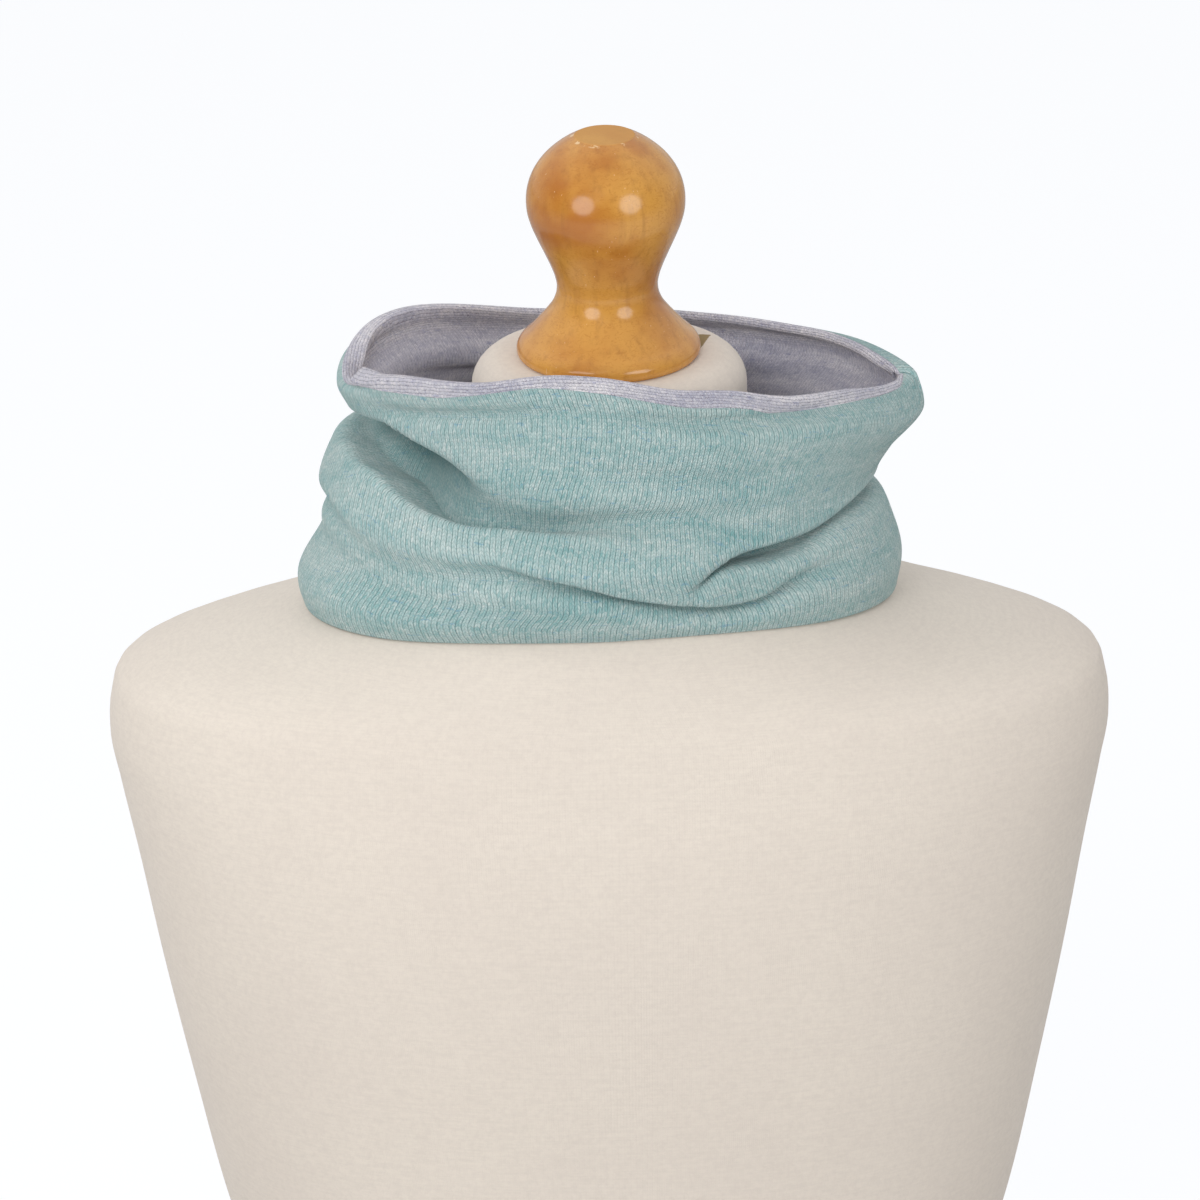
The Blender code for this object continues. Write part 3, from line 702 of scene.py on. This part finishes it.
class Shader:
    """Short ways to add and join nodes in one node tree."""

    def __init__(self, tree):
        self.tree = tree

    def put(self, node, inputs):
        """Joins a node's inputs to sockets, or sets them to plain values."""
        for key, value in inputs.items():
            if isinstance(value, bpy.types.NodeSocket):
                self.tree.links.new(value, node.inputs[key])
            else:
                node.inputs[key].default_value = value
        return node

    def add(self, kind, inputs=None, **settings):
        """A node with its settings made and its inputs joined or set."""
        node = self.tree.nodes.new(kind)
        for key, value in settings.items():
            setattr(node, key, value)
        return self.put(node, inputs or {})

    def math(self, operation, *values, clamp=False):
        """The result of a sum on sockets or numbers."""
        inputs = dict(enumerate(values))
        return self.add("ShaderNodeMath", inputs, operation=operation, use_clamp=clamp).outputs[0]

    def spread(self, value, low, high, to_low=0.0, to_high=1.0, kind="SMOOTHSTEP"):
        """A value moved from one range to another."""
        inputs = {"Value": value, "From Min": low, "From Max": high, "To Min": to_low, "To Max": to_high}
        return self.add("ShaderNodeMapRange", inputs, interpolation_type=kind).outputs[0]

    def mix(self, share, first, second, kind="MIX"):
        """Two colours mixed."""
        inputs = {0: share, 6: first, 7: second}
        return self.add("ShaderNodeMix", inputs, data_type="RGBA", blend_type=kind).outputs[2]

    def noise(self, vector, scale, detail=2.0, roughness=0.5, dimensions="3D"):
        """Smooth noise from 0 to 1."""
        inputs = {"Vector": vector, "Scale": scale, "Detail": detail, "Roughness": roughness}
        return self.add("ShaderNodeTexNoise", inputs, noise_dimensions=dimensions).outputs["Fac"]

    def vector(self, x, y):
        """A place on a flat surface, from its two parts."""
        return self.add("ShaderNodeCombineXYZ", {0: x, 1: y}).outputs[0]

    def parts(self, vector):
        """The three parts of a vector."""
        return tuple(self.add("ShaderNodeSeparateXYZ", {0: vector}).outputs)

    def streaks(self, x, y, across, along, detail, roughness):
        """Flat noise, drawn out by its two scales."""
        place = self.vector(self.math("MULTIPLY", x, across), self.math("MULTIPLY", y, along))
        return self.noise(place, 1.0, detail, roughness, "2D")

    def raised(self, height, depth, strength):
        """A normal with a relief of a depth in metres."""
        inputs = {"Height": height, "Distance": depth, "Strength": strength}
        return self.add("ShaderNodeBump", inputs).outputs[0]

    def object_place(self):
        """The place on the object, in metres."""
        return self.add("ShaderNodeTexCoord").outputs["Object"]

    def surface_map(self, name):
        """One of the mesh's maps."""
        return self.add("ShaderNodeUVMap", uv_map=name).outputs[0]


def new_group(name, inputs, outputs):
    """An empty shader node group, its Shader and its two ends. An input is a number with its usual value,
    or a vector where that is None. Outputs are numbers."""
    group = bpy.data.node_groups.new(name, "ShaderNodeTree")
    for label, value in inputs.items():
        kind = "NodeSocketVector" if value is None else "NodeSocketFloat"
        socket = group.interface.new_socket(name=label, in_out="INPUT", socket_type=kind)
        if value is not None:
            socket.default_value = value
    for label in outputs:
        group.interface.new_socket(name=label, in_out="OUTPUT", socket_type="NodeSocketFloat")
    ends = group.nodes.new("NodeGroupInput"), group.nodes.new("NodeGroupOutput")
    return group, Shader(group), *ends


def stitch_group():
    """Plain knit: each stitch is a V of two slanting legs. Stitches is a place counted in columns and rows.
    Rows and Wales say how strong the painted shade is in the valleys between rows and between columns."""
    made = bpy.data.node_groups.get("plain_knit")
    if made:
        return made
    group, s, start, end = new_group(
        "plain_knit",
        {"Stitches": None, "Slant": 1.5, "Unevenness": 0.4, "Rows": 0.35, "Wales": 1.0},
        ("Height", "Valley shade", "Yarn", "Fleck"),
    )
    place = start.outputs["Stitches"]
    x, y, _ = s.parts(place)
    wander = s.noise(place, 0.23, 3.0, 0.6, "2D")
    wander = s.math("MULTIPLY", s.math("SUBTRACT", wander, 0.5), start.outputs["Unevenness"])
    jitter = s.noise(s.vector(s.math("FLOOR", x), y), 1.7, 1.0, 0.5, "2D")
    jitter = s.math("MULTIPLY", s.math("SUBTRACT", jitter, 0.5), start.outputs["Unevenness"])
    wale = s.math("ADD", x, wander)
    across = s.math("ABSOLUTE", s.math("SUBTRACT", s.math("FRACT", wale), 0.5))
    course = s.math("MULTIPLY_ADD", across, start.outputs["Slant"], y)
    course = s.math("MULTIPLY_ADD", s.math("ADD", wander, jitter), 1.5, course)
    leg = s.math("SINE", s.math("MULTIPLY", across, 2 * math.pi))
    leg = s.math("MAXIMUM", leg, s.spread(across, 0.0, 0.16, 0.4, 0.0))
    loop = s.math("SINE", s.math("MULTIPLY", s.math("FRACT", course), math.pi))
    height = s.math("MULTIPLY", s.math("POWER", leg, 0.6), s.math("MULTIPLY_ADD", loop, 0.5, 0.5))
    # painted shade in the valleys between columns, its strength varied by noise
    worn = s.noise(place, 0.45, 3.0, 0.6, "2D")
    valley_shade = s.math("MAXIMUM", s.spread(across, 0.36, 0.5), s.spread(across, 0.0, 0.12, 0.5, 0.0))
    valley_shade = s.math("MULTIPLY", valley_shade, s.spread(worn, 0.3, 0.65, 0.5, 1.0))
    valley_shade = s.math("MULTIPLY", valley_shade, start.outputs["Wales"])
    # painted shade in the valleys between rows
    gap = s.spread(loop, 0.0, 0.5, start.outputs["Rows"], 0.0)
    row = s.math("FLOOR", course)
    half = s.math("FLOOR", s.math("MULTIPLY", wale, 2.0))
    cell = s.add("ShaderNodeTexWhiteNoise", {"Vector": s.vector(half, row)}, noise_dimensions="2D")
    yarn = s.math("MULTIPLY", s.streaks(wale, row, 0.3, 7.31, 3.0, 0.7), 0.55)
    outputs = {
        "Height": height,
        "Valley shade": s.math("MAXIMUM", valley_shade, gap),
        "Yarn": s.math("MULTIPLY_ADD", cell.outputs["Value"], 0.35, yarn),
        "Fleck": s.streaks(wale, course, 3.1, 1.9, 4.0, 0.8),
    }
    s.put(end, outputs)
    return group


# Knit finishes: the colours of the dark, pale and stray fibres and of the painted shade between stitches and
# in
# # creases. Then pairs, below the rolled edge and in it: how strong the painted shade in the valleys between
# rows
# # and between columns is, and how much the legs slant. They change between the two knit rows of rows_from.
# Then how
# # strong the painted shade in creases and valleys turns, how strong broad blotches are, the painted cool
# shade tint
# # below the rolled edge, and the sheen's weight and tint.
KNITS = {
    "aqua_knit": {
        "dark": (0.210, 0.430, 0.440, 1),
        "pale": (0.690, 0.760, 0.740, 1),
        "stray": (0.200, 0.400, 0.540, 1),
        "valley_shade": (0.060, 0.160, 0.165, 1),
        "rows": (0.55, 0.55),
        "wales": (1.0, 1.0),
        "slant": (1.5, 1.5),
        "rows_from": (70.0, 88.0),
        "crease_shade_strength": 0.8,
        "valley_shade_strength": 0.8,
        "blotchy": 0.5,
        "inside": (1.0, 1.0, 1.0, 1),
        "sheen": 0.25,
        "tint": (0.90, 0.90, 0.88, 1),
    },
    "grey_knit": {
        "dark": (0.430, 0.430, 0.540, 1),
        "pale": (0.950, 0.915, 0.935, 1),
        "stray": (0.300, 0.310, 0.500, 1),
        "valley_shade": (0.180, 0.170, 0.220, 1),
        "rows": (0.35, 1.3),
        "wales": (1.0, 0.35),
        "slant": (1.5, 0.3),
        "rows_from": (84.0, 94.0),
        "crease_shade_strength": 0.4,
        "valley_shade_strength": 0.65,
        "blotchy": 0.9,
        "inside": (1.0, 1.02, 1.07, 1),
        "sheen": 0.25,
        "tint": (0.90, 0.90, 0.93, 1),
    },
}

# Colours of the form's cover and of the knob
JERSEY = {
    "low": (0.742, 0.668, 0.592, 1),
    "high": (0.772, 0.700, 0.617, 1),
    "yarn": (0.90, 0.85, 0.78, 1),
    "speck": (0.60, 0.53, 0.48, 1),
    "streak": (0.62, 0.56, 0.50, 1),
    "scuff": (0.27, 0.19, 0.075, 1),
    "valley_shade": (0.45, 0.38, 0.32, 1),
}
WOOD = {
    "deep": (0.45, 0.155, 0.018, 1),
    "clear": (0.66, 0.320, 0.060, 1),
    "figure": (0.40, 0.120, 0.010, 1),
    "grain": (0.30, 0.105, 0.018, 1),
    "foot": (0.74, 0.36, 0.085, 1),
    "scratch": (0.85, 0.60, 0.32, 1),
    "crown": (0.64, 0.37, 0.14, 1),
    "chip": (0.80, 0.55, 0.28, 1),
}


def principled(name):
    """A new material, its Shader and its Principled shader."""
    made = bpy.data.materials.new(name)
    made.use_nodes = True
    s = Shader(made.node_tree)
    return made, s, made.node_tree.nodes["Principled BSDF"]


def knit_material(name):
    """Melange knit: mixed fibres run along each row, with painted shade between the stitches and in creases.
    """
    look = KNITS[name]
    made, s, shader = principled(name)
    place = s.surface_map("stitches")
    x, y, _ = s.parts(place)
    near_rim = s.spread(y, *look["rows_from"])
    inputs = {"Stitches": place}
    for label in ("Rows", "Wales", "Slant"):
        below, rolled = look[label.lower()]
        inputs[label] = s.math("MULTIPLY_ADD", near_rim, rolled - below, below)
    knit = s.add("ShaderNodeGroup", inputs, node_tree=stitch_group())
    broad = s.streaks(x, y, 0.035, 0.14, 3.0, 0.55)
    share = s.math("MULTIPLY", knit.outputs["Yarn"], 0.8)
    share = s.math("MULTIPLY_ADD", knit.outputs["Fleck"], 0.8, share)
    share = s.math("MULTIPLY_ADD", s.math("SUBTRACT", broad, 0.5), look["blotchy"], share)
    colour = s.mix(s.spread(share, 0.40, 1.15, kind="LINEAR"), look["dark"], look["pale"])
    stray = s.spread(s.streaks(x, y, 0.2, 0.6, 3.0, 0.8), 0.62, 0.72)
    colour = s.mix(s.math("MULTIPLY", stray, 0.6), colour, look["stray"])
    # painted shade in the valleys between stitches
    colour = s.mix(s.math("MULTIPLY", knit.outputs["Valley shade"], look["valley_shade_strength"]), colour, look["valley_shade"])
    # painted shade in the creases, darker the deeper they lie
    deep = s.parts(s.surface_map("crease"))[0]
    colour = s.mix(s.spread(deep, 0.15, 1.0, 0.0, look["crease_shade_strength"]), colour, look["valley_shade"])
    # painted cool shade tint on the knit below the rolled edge, inside the tube
    colour = s.mix(s.math("SUBTRACT", 1.0, near_rim), colour, look["inside"], "MULTIPLY")
    s.put(shader, {
        "Base Color": colour,
        "Normal": s.raised(knit.outputs["Height"], 0.6 * MM, 0.8),
        "Roughness": 0.95,
        "Specular IOR Level": 0.15,
        "Sheen Weight": look["sheen"],
        "Sheen Roughness": 0.45,
        "Sheen Tint": look["tint"],
    })
    return made


def scuff(s, at):
    """Where the bare spot on the neck's top is, between the finial's foot and the spot's slanting edge."""
    x, y, z = s.parts(at)
    right, back = (side * MM for side in SCUFF_REACH)
    start, end = (NECK_AT + SCUFF_FROM) * MM, NECK_AT * MM + right
    slanted = s.math("MULTIPLY_ADD", y, -SCUFF_SLANT, x)
    edge = s.math("MULTIPLY_ADD", s.noise(at, 600.0), 0.001, slanted)
    spot = s.spread(edge, end, end + 0.0004, 1.0, 0.0)
    for value, low, high in ((y, 0.0002, back), (x, start, 1.0), (z, form_high.z - 0.003, 1.0)):
        spot = s.math("MULTIPLY", spot, s.math("GREATER_THAN", value, low))
        spot = s.math("MULTIPLY", spot, s.math("LESS_THAN", value, high))
    return spot


def jersey_material():
    """Very fine cream jersey, drawn tight."""
    made, s, shader = principled("cream_jersey")
    place = s.surface_map("stitches")
    x, y, _ = s.parts(place)
    at = s.object_place()
    knit = s.add("ShaderNodeGroup", {"Stitches": place, "Unevenness": 0.3}, node_tree=stitch_group())
    broad = s.noise(at, 9.0, 4.0, 0.6)
    colour = s.mix(s.spread(broad, 0.3, 0.7), JERSEY["low"], JERSEY["high"])
    colour = s.mix(s.math("MULTIPLY", knit.outputs["Yarn"], 0.10), colour, JERSEY["yarn"])
    speck = s.noise(at, 420.0, 3.0, 0.75)
    colour = s.mix(s.spread(speck, 0.35, 0.7, 0.0, 0.26), colour, JERSEY["speck"])
    streak = s.streaks(x, y, 0.11, 0.8, 3.0, 0.7)
    colour = s.mix(s.spread(streak, 0.35, 0.7, 0.0, 0.20), colour, JERSEY["streak"])
    colour = s.mix(scuff(s, at), colour, JERSEY["scuff"])
    # faint painted shade in the valleys between the jersey's stitches
    colour = s.mix(s.math("MULTIPLY", knit.outputs["Valley shade"], 0.06), colour, JERSEY["valley_shade"])
    s.put(shader, {
        "Base Color": colour,
        "Normal": s.raised(knit.outputs["Height"], 0.08 * MM, 0.5),
        "Roughness": 0.9,
        "Specular IOR Level": 0.2,
        "Sheen Weight": 0.15,
        "Sheen Roughness": 0.5,
    })
    return made


def wood_material():
    """Amber varnish over turned wood, its grain running up the knob, nearly worn off the flat crown."""
    made, s, shader = principled("varnished_wood")
    place = s.object_place()
    grain, ripple = (
        s.add("ShaderNodeVectorMath", {0: place, 1: scales}, operation="MULTIPLY").outputs[0]
        for scales in ((260.0, 260.0, 14.0), (520.0, 520.0, 900.0))
    )
    broad = s.noise(place, 30.0, 3.0, 0.55)
    colour = s.mix(s.spread(broad, 0.34, 0.66), WOOD["deep"], WOOD["clear"])
    inputs = {"Vector": ripple, "Scale": 1.0, "Detail": 3.0, "Distortion": 1.5}
    figure = s.add("ShaderNodeTexNoise", inputs).outputs["Fac"]
    colour = s.mix(s.spread(figure, 0.5, 0.68, 0.0, 0.3), colour, WOOD["figure"])
    colour = s.mix(s.spread(s.noise(grain, 1.0, 5.0, 0.65), 0.45, 0.8, 0.0, 0.45), colour, WOOD["grain"])
    up = s.parts(place)[2]
    waist = (COLLAR + FINIAL_SEAT + KNOB_WAIST) * MM
    colour = s.mix(s.spread(up, waist - 0.006, waist + 0.006, 0.08, 0.0), colour, WOOD["foot"])
    inputs = {"Vector": place, "Rotation": (0.5, 0.6, 0.2), "Scale": (1500, 1500, 90)}
    scratched = s.add("ShaderNodeMapping", inputs).outputs[0]
    scratch = s.spread(s.noise(scratched, 1.0, 2.0, 0.5), 0.70, 0.76)
    patchy = s.spread(s.noise(place, 55.0, 2.0, 0.5), 0.50, 0.62)
    colour = s.mix(s.math("MULTIPLY", scratch, patchy), colour, WOOD["scratch"])
    crown = s.spread(up, finial_high.z - 0.0003, finial_high.z - 0.0001)
    colour = s.mix(s.math("MULTIPLY", crown, 0.6), colour, WOOD["crown"])
    chipped = s.math("SUBTRACT", s.spread(up, finial_high.z - 0.0011, finial_high.z - 0.0007), crown)
    chips = s.spread(s.noise(place, 230.0, 3.0, 0.6), 0.52, 0.62)
    colour = s.mix(s.math("MULTIPLY", chipped, chips, clamp=True), colour, WOOD["chip"])
    s.put(shader, {
        "Base Color": colour,
        "Roughness": 0.6,
        "Specular IOR Level": 0.0,
        "Coat Weight": s.math("MULTIPLY_ADD", crown, -0.8, 1.0),
        "Coat Roughness": 0.17,
        "Coat IOR": 1.6,
    })
    return made


def floor():
    """A plain pale floor, dimmer to the object than it looks."""
    mesh = bpy.data.meshes.new("floor")
    half = 6.0
    corners = [(-half, -half, 0), (half, -half, 0), (half, half, 0), (-half, half, 0)]
    mesh.from_pydata(corners, [], [(0, 1, 2, 3)])
    thing = add_object("floor", mesh)
    made, s, shader = principled("pale_floor")
    s.put(shader, {
        "Base Color": (0.20, 0.203, 0.207, 1),
        "Roughness": 0.9,
        "Specular IOR Level": 0.0,
        "Emission Color": (0.97, 0.98, 1.0, 1),
        "Emission Strength": 0.838,
    })
    made.cycles.emission_sampling = "NONE"
    dim = s.add("ShaderNodeBsdfDiffuse", {"Color": (FLOOR_BOUNCE, FLOOR_BOUNCE, FLOOR_BOUNCE, 1)})
    seen = s.add("ShaderNodeLightPath").outputs["Is Camera Ray"]
    both = s.add("ShaderNodeMixShader", {0: seen, 1: dim.outputs[0], 2: shader.outputs[0]})
    s.put(made.node_tree.nodes["Material Output"], {"Surface": both.outputs[0]})
    mesh.materials.append(made)


def soft_box(name, azimuth, elevation, size, power, in_gloss):
    """A round studio light that looks at the cloth."""
    light = bpy.data.lights.new(name, "AREA")
    light.shape = "DISK"
    light.size = size
    light.energy = power
    a = math.radians(azimuth)
    e = math.radians(elevation)
    toward = Vector((math.sin(a) * math.cos(e), -math.cos(a) * math.cos(e), math.sin(e)))
    thing = add_object(name, light)
    thing.location = Vector((0, 0, (COLLAR + LIGHT_HEIGHT) * MM)) + toward * LIGHT_DISTANCE
    thing.rotation_euler = toward.to_track_quat("Z", "Y").to_euler()
    thing.visible_glossy = in_gloss


def studio():
    """The lights, in a white room that is brighter behind the object and above it."""
    for row in LIGHTS:
        soft_box(*row)
    world = bpy.data.worlds.new("studio")
    bpy.context.scene.world = world
    world.use_nodes = True
    s = Shader(world.node_tree)
    _, back, up = s.parts(s.add("ShaderNodeTexCoord").outputs["Generated"])
    behind = s.spread(back, -0.4, 0.6, 0.15, 0.72)
    above = s.spread(up, 0.15, 0.9, 0.0, 0.36)
    background = world.node_tree.nodes["Background"]
    s.put(background, {"Color": (1.0, 1.0, 1.0, 1), "Strength": s.math("ADD", behind, above)})


def camera():
    """Looks down on the form from the front, a little rolled."""
    target = Vector((VIEW_SIDE, 0, COLLAR * MM))
    e = math.radians(VIEW_DOWN)
    back = Vector((0, -math.cos(e), math.sin(e)))
    lens = bpy.data.cameras.new("camera")
    lens.sensor_width = 36.0
    lens.lens = lens.sensor_width * VIEW_DISTANCE / VIEW_WIDTH
    thing = add_object("camera", lens)
    thing.location = target + back * VIEW_DISTANCE
    turn = back.to_track_quat("Z", "Y").to_matrix() @ Matrix.Rotation(math.radians(-VIEW_ROLL), 3, "Z")
    thing.rotation_euler = turn.to_euler()
    bpy.context.scene.camera = thing


def main():
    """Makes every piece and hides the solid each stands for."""
    camera()
    shell, lining = cloth()
    form = dress_form()
    knob = finial()
    stands_for = (
        (shell, "outer_shell", "aqua_knit"),
        (lining, "lining", "grey_knit"),
        (form, "dress_form", "cream_jersey"),
        (knob, "wood_finial", "varnished_wood"),
    )
    for piece, node, slot in stands_for:
        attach(piece, "root")
        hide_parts(node)
    floor()
    studio()
    bpy.context.scene.view_settings.view_transform = "Standard"


main()
